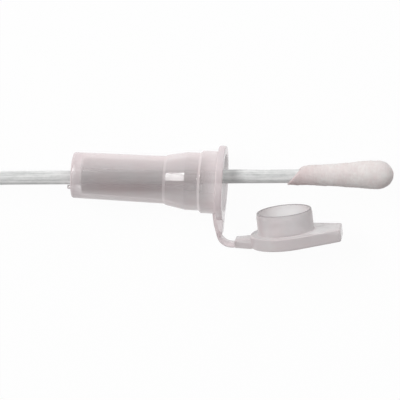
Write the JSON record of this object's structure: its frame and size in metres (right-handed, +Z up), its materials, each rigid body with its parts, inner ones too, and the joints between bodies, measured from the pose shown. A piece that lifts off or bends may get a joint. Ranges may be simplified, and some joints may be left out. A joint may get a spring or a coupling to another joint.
{
  "type": "specimen swab tube",
  "caption": "Translucent guard tube with a snap cap on a living hinge and a long cotton-tipped swab that slides through it, lying on its side with the cap open.",
  "frame": {"origin": "bottom centre of the box around the whole object as it lies on a flat surface", "axes": "+X horizontally along the swab towards its bud, +Y away from the cap, +Z up"},
  "size_m": [0.1498, 0.0186, 0.0134],
  "materials": {
    "polyethylene": "translucent moulded polyethylene, satin, with a faint pink cast",
    "shaft_plastic": "matt light grey with fine lengthwise streaks",
    "cotton": "wound cotton fibre, soft and matt"
  },
  "bodies": {
    "tube": {"guard_tube": "polyethylene", "hinge_strap": "polyethylene"},
    "swab": {"swab_shaft": "shaft_plastic", "cotton_bud": "cotton"},
    "cap": {"snap_cap": "polyethylene"}
  },
  "joints": [
    {"name": "swab_slide", "type": "slide", "parent": "tube", "child": "swab", "axis": [0.9989, 0, 0.0466], "range_m": [-0.0368, 0.06]},
    {"name": "cap_hinge", "type": "hinge", "parent": "tube", "child": "cap", "pos_m": [0.04488, -0.00817, 0.00609], "axis": [0.0465, 0.0608, -0.9971], "range_deg": [-13, 98.5], "stiffness_Nm_per_rad": 0.001, "deforming": ["hinge_strap"]}
  ]
}
